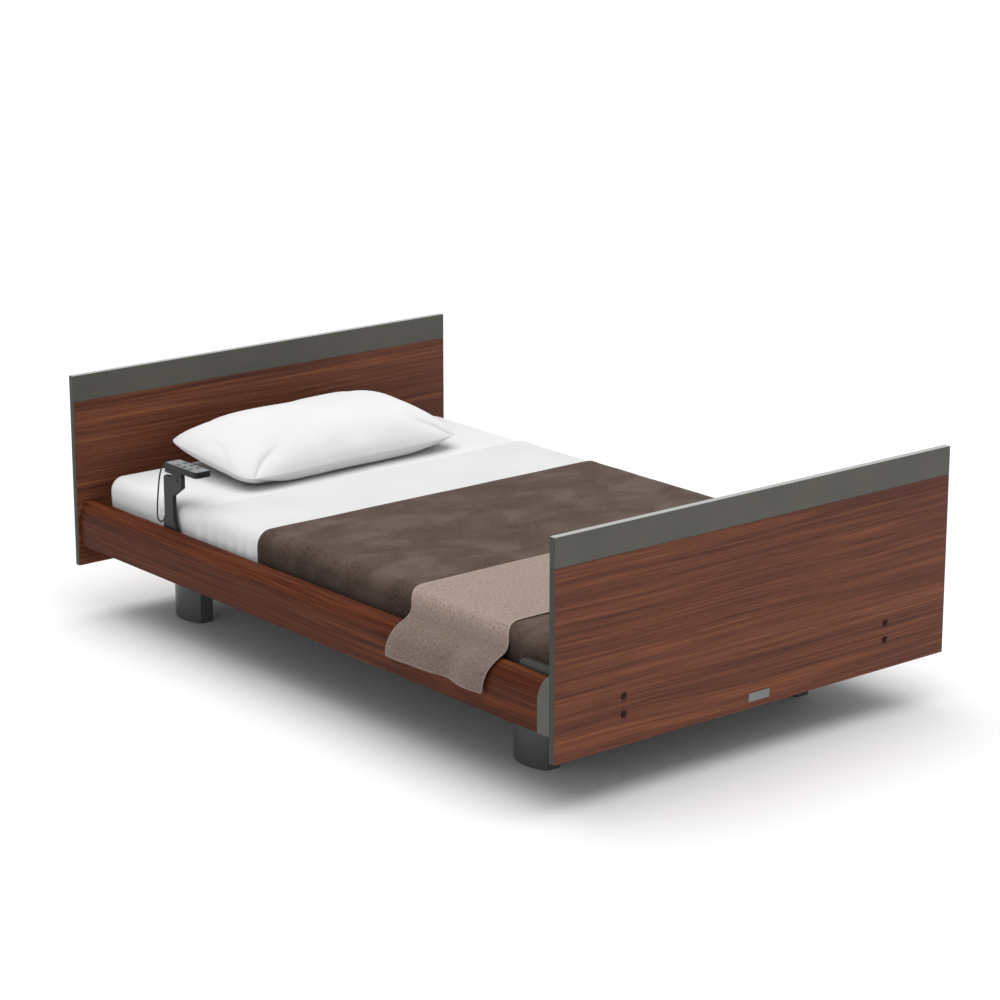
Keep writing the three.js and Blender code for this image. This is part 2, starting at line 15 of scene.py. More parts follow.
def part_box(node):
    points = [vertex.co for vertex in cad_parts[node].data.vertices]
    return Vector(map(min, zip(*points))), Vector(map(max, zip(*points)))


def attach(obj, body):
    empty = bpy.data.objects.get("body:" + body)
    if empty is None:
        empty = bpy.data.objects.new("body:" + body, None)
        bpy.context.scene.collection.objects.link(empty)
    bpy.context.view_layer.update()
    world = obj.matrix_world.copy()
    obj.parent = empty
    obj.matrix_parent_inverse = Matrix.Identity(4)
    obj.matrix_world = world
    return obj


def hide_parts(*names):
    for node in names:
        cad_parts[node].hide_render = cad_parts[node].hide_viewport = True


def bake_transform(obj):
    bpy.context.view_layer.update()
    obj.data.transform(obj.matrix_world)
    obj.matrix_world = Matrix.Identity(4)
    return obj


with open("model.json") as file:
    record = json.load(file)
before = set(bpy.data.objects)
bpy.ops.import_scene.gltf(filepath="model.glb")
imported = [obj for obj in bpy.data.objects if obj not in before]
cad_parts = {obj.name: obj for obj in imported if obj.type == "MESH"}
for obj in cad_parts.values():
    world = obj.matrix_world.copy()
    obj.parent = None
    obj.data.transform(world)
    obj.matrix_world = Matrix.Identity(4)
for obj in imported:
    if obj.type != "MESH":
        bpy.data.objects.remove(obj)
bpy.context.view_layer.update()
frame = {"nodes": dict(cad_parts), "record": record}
scene = bpy.context.scene

# ---- Driving dimensions ----

CLOTH_UV = "cloth"  # the layer that holds each cloth's own flat coordinates, in metres

MATTRESS_HALF = 0.5885
MATTRESS_BOTTOM = 0.2865
MATTRESS_TOP = 0.4025
MATTRESS_HEAD = 0.976
MATTRESS_FOOT = -0.974
MATTRESS_TOP_RADIUS = 0.034
MATTRESS_BOTTOM_RADIUS = 0.014
MATTRESS_END_RADIUS = 0.030

# The bedding is in three stretches with hidden joints, so that each one bends at one hinge only.
SEAT_SEAM = 0.076
THIGH_SEAM = -0.189
BACK_ZONE = (0.076, 0.286)
KNEE_ZONE = (0.041, -0.089)
CALF_ZONE = (-0.264, -0.414)

SHEET_HEAD = 0.517
SHEET_SKEW = 0.020  # how much further up the bed the sheet's edge lies on the right
SHEET_START = 0.150  # its hidden edge, under the blanket
SHEET_HEM = 0.034  # how deep the hem along its head edge is turned under
SHEET_RISE = 0.0026  # how far the cloth lies outside the mattress
SHEET_THICKNESS = 0.0020
BLANKET_HEAD = 0.232
BLANKET_RISE = 0.0062
BLANKET_THICKNESS = 0.0038
COVER_HEM = 0.294  # the height of both covers' lower edges
COVER_DROP = MATTRESS_TOP - COVER_HEM

THROW_HEAD = -0.415
THROW_FOOT = -0.790
THROW_THICKNESS = 0.0030
THROW_RISE = 0.0083
THROW_EDGE = 0.565  # how far along the cloth from its middle it turns down the bed's side
THROW_CREST = 0.628  # and how far along it the crest of the rail lies
RAIL_CREST = (0.612, 0.275)  # the middle of the arc, in x and z, that it follows over the rail
RAIL_CREST_RADII = (0.0425, 0.063)

CORD_DIAMETER = 0.0044
CORD_ROUTE_MM = [
    (-594, 658.5, 505), (-594.4, 663, 504.9), (-595.3, 667.5, 503.6), (-597, 671, 500.4),
    (-599.5, 673, 495.4), (-602.6, 673.8, 488.5), (-605.8, 674, 479), (-608.4, 674.8, 466),
    (-610, 676.2, 450), (-611, 678, 432), (-611.6, 680, 414), (-612, 682.2, 396),
    (-612, 684.2, 379), (-611.8, 685.4, 364), (-611.4, 685, 353.5), (-610.6, 682.6, 346.4),
    (-609, 678.6, 342.4), (-606.8, 674, 341.6), (-604.6, 669.6, 343.4), (-603, 666.4, 347.6),
    (-602.2, 664.6, 353.4), (-602, 662.6, 359), (-602, 659.6, 362.6), (-602, 655.6, 363.6),
]

# ---- Camera, light and floor ----

CAMERA_PLACE = (-4.879, -6.000, 2.592)
CAMERA_TURN = 39.34  # degrees from the bed's length towards its right side
CAMERA_DROP = 15.55  # degrees below level
CAMERA_LENS = 107.66  # in mm, for a sensor 36 mm wide

WALL_LIGHT = 0.40  # the ceiling overhead is 1
LIGHT_LEVEL = 1.2  # colours are given as they look under this much light, so they are divided by it
FLOOR_HALF = 400.0  # far enough for the floor to meet the horizon


def add_camera():
    turn, drop = math.radians(CAMERA_TURN), math.radians(CAMERA_DROP)
    data = bpy.data.cameras.new("camera")
    data.lens = CAMERA_LENS
    data.sensor_width = 36.0
    data.clip_end = 200.0
    camera = bpy.data.objects.new("camera", data)
    camera.location = CAMERA_PLACE
    ahead = Vector((math.sin(turn) * math.cos(drop), math.cos(turn) * math.cos(drop), -math.sin(drop)))
    camera.rotation_euler = ahead.to_track_quat("-Z", "Y").to_euler()
    scene.collection.objects.link(camera)
    scene.camera = camera


def add_soft_sun(name, comes_from, power, spread):
    """An even light over the whole floor, as soft as a wide panel. spread is in degrees."""
    data = bpy.data.lights.new(name, "SUN")
    data.energy = power
    data.angle = math.radians(spread)
    light = bpy.data.objects.new(name, data)
    light.rotation_euler = (-Vector(comes_from)).to_track_quat("-Z", "Y").to_euler()
    scene.collection.objects.link(light)


def set_stops(color_ramp, stops):
    """Gives a colour ramp its (position, colour) pairs."""
    while len(color_ramp.elements) < len(stops):
        color_ramp.elements.new(0.5)
    for element, (position, color) in zip(color_ramp.elements, stops):
        element.position = position
        element.color = color


def add_light():
    """A white studio with a glowing ceiling, dimmer walls, and a white line along the horizon."""
    world = bpy.data.worlds.new("studio")
    world.use_nodes = True
    nodes, links = world.node_tree.nodes, world.node_tree.links
    direction = nodes.new("ShaderNodeTexCoord").outputs["Generated"]
    split = nodes.new("ShaderNodeSeparateXYZ")
    levels = nodes.new("ShaderNodeValToRGB")
    white, wall = (1.0, 1.0, 1.0, 1.0), (WALL_LIGHT, WALL_LIGHT, WALL_LIGHT, 1.0)
    set_stops(levels.color_ramp, [(0.0, white), (0.08, white), (0.20, wall), (1.0, white)])
    links.new(direction, split.inputs[0])
    links.new(split.outputs["Z"], levels.inputs["Fac"])
    links.new(levels.outputs["Color"], nodes["Background"].inputs["Color"])
    scene.world = world
    add_soft_sun("overhead", (-0.09, 0.0, 1.0), 2.10, 74.0)
    scene.view_settings.view_transform = "Standard"


def add_floor():
    half = FLOOR_HALF
    mesh = bpy.data.meshes.new("floor")
    mesh.from_pydata([(-half, -half, 0), (half, -half, 0), (half, half, 0), (-half, half, 0)],
                     [], [(0, 1, 2, 3)])
    floor = bpy.data.objects.new("floor", mesh)
    scene.collection.objects.link(floor)
    finish = Finish("floor_paint", 0.9)
    grain = finish.noise(finish.place(), 0.6, detail=2.0)
    finish.color(finish.ramp(grain, [(0.3, "fafafa"), (0.7, "fdfdfd")]))
    floor.data.materials.append(finish.material)


# ---- Material helpers ----


def linear(code):
    """A six-digit colour code, as it looks under the studio's light, as linear values with alpha."""
    parts = [int(code[i:i + 2], 16) / 255 for i in (0, 2, 4)]
    seen = [p / 12.92 if p <= 0.04045 else ((p + 0.055) / 1.055) ** 2.4 for p in parts]
    return [p / LIGHT_LEVEL for p in seen] + [1.0]


class Finish:
    """One procedural material, with short calls for the nodes that it is made of."""

    def __init__(self, name, roughness, metallic=0.0, specular=0.5):
        self.material = bpy.data.materials.new(name)
        self.material.use_nodes = True
        self.tree = self.material.node_tree
        self.shader = self.tree.nodes["Principled BSDF"]
        self.set("Roughness", roughness)
        self.set("Metallic", metallic)
        self.set("Specular IOR Level", specular)

    def set(self, name, value):
        self.put(self.shader.inputs[name], value)

    def put(self, socket, value):
        if isinstance(value, bpy.types.NodeSocket):
            self.tree.links.new(value, socket)
        else:
            socket.default_value = value

    def node(self, kind, inputs=(), **settings):
        made = self.tree.nodes.new("ShaderNode" + kind)
        for key, value in settings.items():
            setattr(made, key, value)
        for key, value in dict(inputs).items():
            self.put(made.inputs[key], value)
        return made

    def stretched(self, vector, stretch):
        return self.node("Mapping", {"Vector": vector, "Scale": stretch}).outputs["Vector"]

    def place(self, stretch=(1, 1, 1)):
        """The point on the piece at rest, stretched."""
        return self.stretched(self.node("TexCoord").outputs["Object"], stretch)

    def cloth_place(self, stretch=(1, 1, 1)):
        """The point on the cloth when it is laid flat, stretched."""
        return self.stretched(self.node("UVMap", uv_map=CLOTH_UV).outputs["UV"], stretch)

    def axis(self, vector, name):
        return self.node("SeparateXYZ", {0: vector}).outputs[name]

    def noise(self, vector, scale=1.0, detail=3.0, roughness=0.5, distortion=0.0):
        inputs = {"Vector": vector, "Scale": scale, "Detail": detail,
                  "Roughness": roughness, "Distortion": distortion}
        return self.node("TexNoise", inputs).outputs[0]

    def maths(self, operation, first, second=0.0, third=None):
        inputs = {0: first, 1: second}
        if third is not None:
            inputs[2] = third
        return self.node("Math", inputs, operation=operation).outputs[0]

    def range(self, value, low, high, to_low=0.0, to_high=1.0):
        inputs = {"Value": value, "From Min": low, "From Max": high,
                  "To Min": to_low, "To Max": to_high}
        return self.node("MapRange", inputs).outputs[0]

    def ramp(self, factor, stops):
        made = self.node("ValToRGB", {"Fac": factor})
        set_stops(made.color_ramp, [(position, linear(code)) for position, code in stops])
        return made.outputs["Color"]

    def mix(self, factor, first, second):
        """From the first colour at 0 to the second at 1. Either may be a colour code."""
        first = linear(first) if isinstance(first, str) else first
        second = linear(second) if isinstance(second, str) else second
        return self.node("Mix", {0: factor, 6: first, 7: second}, data_type="RGBA").outputs[2]

    def color(self, value):
        self.set("Base Color", value)

    def distance(self, vector, name, middle=0.0):
        """How far the point is from the middle along one axis, to either side."""
        return self.maths("ABSOLUTE", self.maths("SUBTRACT", self.axis(vector, name), middle))

    def bump(self, height, distance, strength):
        before = self.shader.inputs["Normal"]
        inputs = {"Height": height, "Distance": distance, "Strength": strength}
        if before.is_linked:
            inputs["Normal"] = before.links[0].from_socket
        self.put(before, self.node("Bump", inputs).outputs["Normal"])


# ---- Hard finishes ----


BOARD_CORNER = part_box("headboard_band")[1]  # its upper, outer corner on the right
BOARD_EDGE = 0.0008  # how deep the colours of the boards' edges and the bands' painted top highlight reach in
EDGING_TONE = "41443d"
HANDSET_CENTRE = (-0.580, 0.577)
KEYPAD_HALF = (0.0225, 0.0735)
KEYPAD_DEPTH = 0.0032  # below the handset's highest point


def walnut(name, along, tones, roughness, specular):
    """Reddish walnut with its grain along X or Y. The tones run from the darkest to the lightest."""
    finish = Finish(name, roughness, specular=specular)

    def lengthwise(point, lengthways, crossways):
        stretch = (lengthways, crossways) if along == "X" else (crossways, lengthways)
        return finish.stretched(point, stretch + (crossways,))

    # the grain wanders, because the point that it is taken from drifts up and down along the board
    point = finish.node("TexCoord").outputs["Object"]
    drift = finish.noise(lengthwise(point, 1.1, 3.2), detail=1.0)
    drift = finish.maths("MULTIPLY", finish.maths("SUBTRACT", drift, 0.5), 0.034)
    shift = finish.node("CombineXYZ", {"X": 0.0, "Y": 0.0, "Z": drift}).outputs[0]
    drifting = finish.node("VectorMath", {0: point, 1: shift}, operation="ADD").outputs[0]

    def grain(lengthways, crossways, detail, unevenness):
        place = lengthwise(drifting, lengthways, crossways)
        return finish.noise(place, detail=detail, roughness=unevenness)

    bands = grain(0.9, 30.0, 3.0, 0.6)
    streaks = grain(2.2, 230.0, 3.0, 0.65)
    fibres = grain(8.0, 620.0, 2.0, 0.6)
    glow = grain(1.8, 110.0, 2.0, 0.5)
    tone = finish.maths("MULTIPLY_ADD", bands, 0.30, finish.maths("MULTIPLY", streaks, 0.46))
    tone = finish.maths("MULTIPLY_ADD", fibres, 0.24, tone)
    dark, low, middle, high, bright = tones
    wood = finish.ramp(tone, [(0.36, dark), (0.44, low), (0.50, middle), (0.56, high), (0.65, bright)])
    wood = finish.mix(finish.range(glow, 0.56, 0.70, 0.0, 0.38), wood, bright)
    pores = finish.range(fibres, 0.60, 0.72)
    wood = finish.mix(finish.maths("MULTIPLY", pores, 0.25), wood, dark)
    finish.bump(finish.maths("SUBTRACT", streaks, pores), 0.00012, 0.5)
    finish.set("Roughness", finish.range(streaks, 0.35, 0.65, roughness - 0.05, roughness + 0.07))
    return finish, wood


def board_ends(finish):
    """1 on the two end faces of a board or band, 0 elsewhere."""
    across = finish.distance(finish.place(), "X")
    return finish.maths("GREATER_THAN", across, BOARD_CORNER.x - BOARD_EDGE)


def board_walnut():
    """The boards' walnut, with both ends edged in the trim's grey green."""
    finish, wood = walnut("board_walnut", "X",
                          ("4b291e", "5c3326", "6b3d2c", "784731", "965c3b"), 0.46, 0.14)
    finish.color(finish.mix(board_ends(finish), wood, EDGING_TONE))
    return finish.material


def rail_walnut():
    finish, wood = walnut("rail_walnut", "Y",
                          ("35160c", "441f12", "512716", "60311b", "7a4427"), 0.38, 0.06)
    finish.color(wood)
    return finish.material


def moulded_grain(finish, roughness, grain_scale, depth):
    """A fine even grain and faint cloudy changes of gloss. Returns the clouds."""
    cloud = finish.noise(finish.place(), 7.0)
    grain = finish.noise(finish.place(), grain_scale, detail=2.0)
    finish.set("Roughness", finish.range(cloud, 0.3, 0.7, roughness - 0.04, roughness + 0.05))
    finish.bump(grain, depth, 0.6)
    finish.set("Specular IOR Level", 0.25)
    return cloud


def moulded(name, tones, roughness, grain_scale=900.0, depth=0.00006):
    """Plastic or powder coat, with faint cloudy changes of tone."""
    finish = Finish(name, roughness)
    cloud = moulded_grain(finish, roughness, grain_scale, depth)
    finish.color(finish.ramp(cloud, [(0.3, tones[0]), (0.7, tones[1])]))
    return finish.material


def board_trim():
    """The bands' grey green, with the ends a shade deeper and a painted highlight on the upper face, pale
    where the overhead light catches it.
    """
    finish = Finish("trim_look", 0.5)
    cloud = moulded_grain(finish, 0.5, 600.0, 0.00006)
    base = finish.ramp(cloud, [(0.3, "55544e"), (0.7, "5d5b54")])
    base = finish.mix(board_ends(finish), base, EDGING_TONE)
    # painted highlight: the bands' upper face is lightened towards b0b1af, where the overhead light catches
    # it
    height = finish.axis(finish.place(), "Z")
    painted_top_highlight = finish.range(height, BOARD_CORNER.z - BOARD_EDGE, BOARD_CORNER.z - 0.0003)
    finish.color(finish.mix(painted_top_highlight, base, "b0b1af"))
    return finish.material


def brushed(name, tones, gloss, metallic, scratch=(0.00004, 0.5), outside_tone=None):
    """Metal brushed along X. gloss is the range of its roughness, and scratch its bump's depth and
    strength. outside_tone is for whatever stands out from the boards' outer faces.
    """
    finish = Finish(name, gloss[0], metallic)
    lines = finish.noise(finish.place((4, 260, 260)))
    base = finish.ramp(lines, [(0.3, tones[0]), (0.7, tones[1])])
    if outside_tone:
        outside = finish.maths("GREATER_THAN", finish.distance(finish.place(), "Y"),
                               BOARD_CORNER.y + 0.0002)
        base = finish.mix(outside, base, outside_tone)
    finish.color(base)
    finish.set("Roughness", finish.range(lines, 0.3, 0.7, *gloss))
    finish.bump(lines, *scratch)
    return finish.material


def handset_shell():
    """Dark satin housing with a lighter, finely speckled keypad field on its top."""
    finish = Finish("handset_shell", 0.42, specular=0.22)
    place = finish.place()
    across = finish.distance(place, "X", HANDSET_CENTRE[0])
    along = finish.distance(place, "Y", HANDSET_CENTRE[1])
    inside = finish.maths("MULTIPLY", finish.maths("LESS_THAN", across, KEYPAD_HALF[0]),
                          finish.maths("LESS_THAN", along, KEYPAD_HALF[1]))
    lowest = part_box("handset_body")[1].z - KEYPAD_DEPTH
    top = finish.maths("GREATER_THAN", finish.axis(place, "Z"), lowest)
    speck = finish.noise(place, 1400.0, detail=1.0)
    pad = finish.ramp(speck, [(0.35, "858789"), (0.65, "979a9c")])
    finish.color(finish.mix(finish.maths("MULTIPLY", inside, top), "1c1d1e", pad))
    finish.bump(speck, 0.00005, 0.6)
    return finish.material


# ---- Cloth finishes ----


def weave(finish, thread, depth, strength, diagonal=0.0):
    """Two crossed sets of threads as bump. diagonal slants one of them, for a twill."""
    turns = 2 * math.pi / thread
    place = finish.cloth_place()
    across, along = finish.axis(place, "X"), finish.axis(place, "Y")
    slanted = finish.maths("MULTIPLY_ADD", along, diagonal, across)
    warp = finish.maths("SINE", finish.maths("MULTIPLY", slanted, turns))
    weft = finish.maths("SINE", finish.maths("MULTIPLY", along, turns))
    finish.bump(finish.maths("MULTIPLY", warp, weft), depth, strength)


def set_sheen(finish, weight, roughness, tint=None):
    finish.set("Sheen Weight", weight)
    finish.set("Sheen Roughness", roughness)
    if tint:
        finish.set("Sheen Tint", linear(tint))


def linen(name, shade):
    """Fine plain cotton. shade holds its two closely alike tones."""
    finish = Finish(name, 0.86, specular=0.25)
    weave(finish, 0.0011, 0.00006, 0.5)
    slub = finish.noise(finish.cloth_place((40, 400, 1)), detail=2.0)
    cloud = finish.noise(finish.cloth_place(), 5.0, detail=2.0)
    base = finish.ramp(cloud, [(0.3, shade[0]), (0.7, shade[1])])
    finish.color(finish.mix(finish.range(slub, 0.6, 0.8, 0.0, 0.12), base, "dcdcde"))
    set_sheen(finish, 0.06, 0.5)
    return finish.material


def velour():
    """The blanket's short brushed pile: soft clouds of lighter and darker lay, and a grainy nap.

    The hanging sides are painted a shade deeper: painted shade for the overhead light, which falls less on
    them.
    """
    finish = Finish("velour", 0.93, specular=0.05)
    lay = finish.noise(finish.cloth_place((6, 9, 1)), detail=4.0, roughness=0.6, distortion=0.5)
    nap = finish.noise(finish.cloth_place((1, 1.6, 1)), 150.0, detail=5.0, roughness=0.8)
    base = finish.ramp(lay, [(0.36, "3b2e27"), (0.50, "4a3c34"), (0.64, "5c4e46")])
    base = finish.mix(finish.range(nap, 0.40, 0.62, 0.0, 0.50), base, "7d6c64")
    # painted shade: the hanging sides are darkened towards 241a13, where less overhead light falls
    painted_hanging_shade = finish.range(finish.distance(finish.cloth_place(), "X"), 0.560, 0.600, 0.0, 0.45)
    finish.color(finish.mix(painted_hanging_shade, base, "241a13"))
    finish.bump(nap, 0.0012, 0.7)
    set_sheen(finish, 0.50, 0.26, "d6c8be")
    return finish.material


def heather_twill(flat):
    """The throw: speckled two-tone yarn in a twill, with a paler stitched hem all round.

    Its hanging ends are painted a shade deeper, like the blanket's sides: painted shade where they fall
    away from the overhead light.
    """
    finish = Finish("heather_twill", 0.95, specular=0.08)
    width, length = flat
    place = finish.cloth_place()
    yarn = finish.noise(finish.cloth_place((120, 150, 1)), detail=6.0, roughness=0.85)
    cloud = finish.noise(finish.cloth_place((11, 24, 1)))
    base = finish.ramp(yarn, [(0.36, "7b6a61"), (0.5, "a28f85"), (0.64, "c6b4a9")])
    base = finish.mix(finish.range(cloud, 0.35, 0.65, 0.0, 0.45), base, "ab988e")
    from_end = finish.maths("SUBTRACT", width / 2, finish.distance(place, "X"))
    from_side = finish.maths("SUBTRACT", length / 2, finish.distance(place, "Y"))
    hem = finish.range(finish.maths("MINIMUM", from_end, from_side), 0.0030, 0.0050, 0.45, 0.0)
    base = finish.mix(hem, base, "cabbb1")
    # painted shade: the hanging ends are darkened towards 45372f, where they fall away from the overhead
    # light
    painted_hanging_shade = finish.range(from_end, 0.120, 0.190, 0.50, 0.0)
    finish.color(finish.mix(painted_hanging_shade, base, "45372f"))
    weave(finish, 0.0045, 0.0006, 0.7, diagonal=1.0)
    finish.bump(yarn, 0.0008, 0.6)
    set_sheen(finish, 0.45, 0.28, "f6ebe3")
    return finish.material


# ---- Mesh helpers ----


def object_from(name, vertices, faces, look):
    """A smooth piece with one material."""
    mesh = bpy.data.meshes.new(name)
    mesh.from_pydata([tuple(v) for v in vertices], [], faces)
    piece = bpy.data.objects.new(name, mesh)
    scene.collection.objects.link(piece)
    mesh.materials.append(look)
    mesh.polygons.foreach_set("use_smooth", [True] * len(mesh.polygons))
    return piece


def apply_modifiers(piece):
    """The piece's mesh becomes what its modifiers show."""
    graph = bpy.context.evaluated_depsgraph_get()
    graph.update()
    finished = bpy.data.meshes.new_from_object(piece.evaluated_get(graph))
    piece.modifiers.clear()
    piece.data = finished


def set_cloth_uv(mesh, flat_points):
    """flat_points holds each vertex's (across, along) on the flat cloth, in metres."""
    layer = mesh.uv_layers.new(name=CLOTH_UV)
    corners = np.empty(len(mesh.loops), dtype=np.int32)
    mesh.loops.foreach_get("vertex_index", corners)
    layer.data.foreach_set("uv", np.asarray(flat_points, dtype=np.float32)[corners].ravel())


def subdivide(piece):
    smoothing = piece.modifiers.new("smoothing", "SUBSURF")
    smoothing.levels = smoothing.render_levels = 1
    apply_modifiers(piece)


def ring_faces(rings, sides):
    """The faces of a closed tube whose vertices come ring by ring."""
    faces = []
    for i in range(rings - 1):
        for s in range(sides):
            a, b = i * sides + s, i * sides + (s + 1) % sides
            faces.append((a, b, b + sides, a + sides))
    last = (rings - 1) * sides
    return faces + [list(range(sides))[::-1], list(range(last, last + sides))]


def face_outward(piece):
    """Turns the faces of a closed mesh to point outwards."""
    form = bmesh.new()
    form.from_mesh(piece.data)
    bmesh.ops.recalc_face_normals(form, faces=form.faces)
    form.to_mesh(piece.data)
    form.free()


def thicken(piece, thickness):
    """Gives an open sheet an inner face, so that the sheet's own face stays outermost."""
    solid = piece.modifiers.new("thickness", "SOLIDIFY")
    solid.thickness = thickness
    solid.offset = -1.0
    solid.use_even_offset = True
    apply_modifiers(piece)


def round_hems(piece, width, kept_flat=()):
    """Rounds the outer corners of a cloth's cut edges, except along the hidden joints."""
    form = bmesh.new()
    form.from_mesh(piece.data)
    corners = []
    for edge in form.edges:
        if len(edge.link_faces) != 2 or edge.calc_face_angle(0.0) < math.radians(55):
            continue
        on_joint = any(all(abs(v.co.y - y) < 1e-5 for v in edge.verts) for y in kept_flat)
        if not on_joint:
            corners.append(edge)
    bmesh.ops.bevel(form, geom=corners, offset=width, segments=2, affect="EDGES",
                    profile=0.5, clamp_overlap=True)
    form.to_mesh(piece.data)
    form.free()


def smooth_shading(piece, angle):
    piece.data.polygons.foreach_set("use_smooth", [True] * len(piece.data.polygons))
    piece.data.set_sharp_from_angle(angle=math.radians(angle))


def smoothstep(value, low, high):
    t = np.clip((value - low) / (high - low), 0, 1)
    return t * t * (3 - 2 * t)


def soft_noise(points, stretch, seed):
    """Smooth noise of about -1 to 1 at each point, stretched along the axes."""
    offset = Vector((seed * 17.3, seed * 5.1, seed * 9.7))
    scale = np.asarray(stretch, dtype=float)
    return np.array([noise.noise(Vector(p * scale) + offset) for p in points])


# ---- The block that the mattress and its covers share ----


def block_rows(half, bottom, top, top_radius, bottom_radius, side_rows=5, arc_rows=7):
    """The side's outline from its lowest row to its top row: (half width, z, angle of the outward
    direction above the horizontal).
    """
    rows = []
    if bottom_radius > 0:
        for i in range(4):
            angle = -math.pi / 2 + (i / 4) * math.pi / 2
            rows.append((half - bottom_radius + bottom_radius * math.cos(angle),
                         bottom + bottom_radius + bottom_radius * math.sin(angle), angle))
    low, high = bottom + bottom_radius, top - top_radius
    for i in range(side_rows):
        rows.append((half, low + (high - low) * i / side_rows, 0.0))
    for i in range(arc_rows + 1):
        angle = (i / arc_rows) * math.pi / 2
        rows.append((half - top_radius + top_radius * math.cos(angle),
                     high + top_radius * math.sin(angle), angle))
    return rows


def block_stations(breaks, spacing, radius, round_foot, round_head):
    """Places along the bed: (y, how far the outline draws in, angle that the surface turns away)."""
    places = []
    for start, end in zip(breaks[:-1], breaks[1:]):
        count = max(1, round(abs(end - start) / spacing))
        places += [start + (end - start) * i / count for i in range(count)]
    places.append(breaks[-1])
    stations = [(y, 0.0, 0.0) for y in places]
    steps = 6
    arc = [(radius * (1 - math.cos(i / steps * math.pi / 2)),
            radius * math.sin(i / steps * math.pi / 2),
            i / steps * math.pi / 2) for i in range(1, steps + 1)]
    if round_foot:
        stations = [(places[0] - run, drop, -turn) for drop, run, turn in reversed(arc)] + stations
    if round_head:
        stations = stations + [(places[-1] + run, drop, turn) for drop, run, turn in arc]
    return stations


def block_lattice(rows, stations, columns, ripple):
    """Points of a rounded block on a three-way grid. ripple(points, outward) says how far each point
    of the surface is moved outwards.
    """
    row = np.array(rows)
    station = np.array(stations)
    share = np.linspace(-1, 1, columns + 1)
    middle = (row[0, 1] + row[-1, 1]) / 2
    half_height = (row[-1, 1] - row[0, 1]) / 2
    shape = (columns + 1, len(stations), len(rows))
    points = np.zeros(shape + (3,))
    drop = station[:, 1]
    points[..., 0] = share[:, None, None] * (row[None, None, :, 0] - drop[None, :, None])
    points[..., 1] = station[None, :, None, 0]
    squeeze = 1 - drop / half_height
    points[..., 2] = middle + (row[None, None, :, 1] - middle) * squeeze[None, :, None]
    outward = np.zeros(shape + (3,))
    for i, sign in ((0, -1.0), (columns, 1.0)):
        outward[i, :, :, 0] = sign * np.cos(row[:, 2])
        outward[i, :, :, 2] = np.sin(row[:, 2])
    outward[1:-1, :, -1, 2] = 1.0
    if row[0, 2] < 0:
        outward[1:-1, :, 0, 2] = -1.0
    turn = station[None, :, None, 2]
    outward *= np.cos(turn)[..., None]
    surface = np.linalg.norm(outward, axis=-1) > 0
    outward[..., 1] += np.where(surface, np.sin(turn), 0)
    for j in (0, len(stations) - 1):
        if abs(station[j, 2]) > 1:
            outward[:, j, :, :] = (0, math.copysign(1, station[j, 2]), 0)
    surface = np.linalg.norm(outward, axis=-1) > 0
    moved = points[surface]
    lift = ripple(moved, outward[surface])
    points[surface] = moved + outward[surface] * lift[:, None]
    return points


def block_mesh(name, points, span, sides, look):
    """A mesh of the chosen sides of the lattice, between two stations. Each side is a letter:
    l left, r right, t top, b bottom, f foot end, h head end.
    """
    first, last = span
    columns, rows = points.shape[0] - 1, points.shape[2] - 1
    index = {}
    vertices, faces, flats = [], [], []

    def vertex(i, j, k):
        if (i, j, k) not in index:
            index[i, j, k] = len(vertices)
            vertices.append(points[i, j, k])
        return index[i, j, k]

    def flat(side, i, j, k):
        """The point on the cloth laid flat, which goes on beyond the edges by how far it falls."""
        x, y, z = points[i, j, k]
        fall = points[columns // 2, j, rows][2] - z
        if side in "lr":
            return (math.copysign(MATTRESS_HALF, x) * 0.96 + math.copysign(fall, x), y)
        if side in "fh":
            return (x, y - fall if side == "f" else y + fall)
        return (x, y)

    def quad(side, *corners):
        if side in sides:
            faces.append([vertex(*c) for c in corners])
            flats.extend(flat(side, *c) for c in corners)

    for j in range(first, last):
        for k in range(rows):
            quad("l", (0, j, k), (0, j, k + 1), (0, j + 1, k + 1), (0, j + 1, k))
            i = columns
            quad("r", (i, j, k), (i, j + 1, k), (i, j + 1, k + 1), (i, j, k + 1))
        for i in range(columns):
            k = rows
            quad("t", (i, j, k), (i + 1, j, k), (i + 1, j + 1, k), (i, j + 1, k))
            quad("b", (i, j, 0), (i, j + 1, 0), (i + 1, j + 1, 0), (i + 1, j, 0))
    for i in range(columns):
        for k in range(rows):
            j = first
            quad("f", (i, j, k), (i + 1, j, k), (i + 1, j, k + 1), (i, j, k + 1))
            j = last
            quad("h", (i, j, k), (i, j, k + 1), (i + 1, j, k + 1), (i + 1, j, k))
    piece = object_from(name, vertices, faces, look)
    layer = piece.data.uv_layers.new(name=CLOTH_UV)
    layer.data.foreach_set("uv", np.array(flats, dtype=np.float32).ravel())
    return piece


def station_at(stations, y):
    """The number of the station that lies nearest to y, apart from the rounded ends."""
    return min(range(len(stations)), key=lambda j: abs(stations[j][0] - y) + abs(stations[j][2]))


def seams(stations):
    """The numbers of the stations at the thigh's seam, the seat's seam and the head end."""
    return station_at(stations, THIGH_SEAM), station_at(stations, SEAT_SEAM), len(stations) - 1


def bend(piece, first_body, second_body, zone):
    """Bakes the piece's placement into its mesh; first_body, second_body and zone are not used."""
    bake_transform(piece)


# ---- Mattress ----


def mattress_ripple(points, outward):
    y, z = points[:, 1], points[:, 2]
    side = np.abs(outward[:, 0]) * (outward[:, 2] > -0.2)
    lift = 0.0007 * soft_noise(points, (4, 5, 4), 1)
    open_part = smoothstep(y, 0.45, 0.6)
    # the fitted sheet is pulled a little tight in the middle of the side and creases at the corner
    lift += open_part * side * 0.0022 * soft_noise(points, (0, 9, 22), 2)
    lift += open_part * side * 0.0012 * np.sin((y + 0.6 * z) * 2 * math.pi / 0.055) * (
        smoothstep(y, 0.86, 0.96))
    lift += open_part * (outward[:, 2] > 0.7) * 0.0014 * soft_noise(points, (3, 7, 1), 3)
    return lift


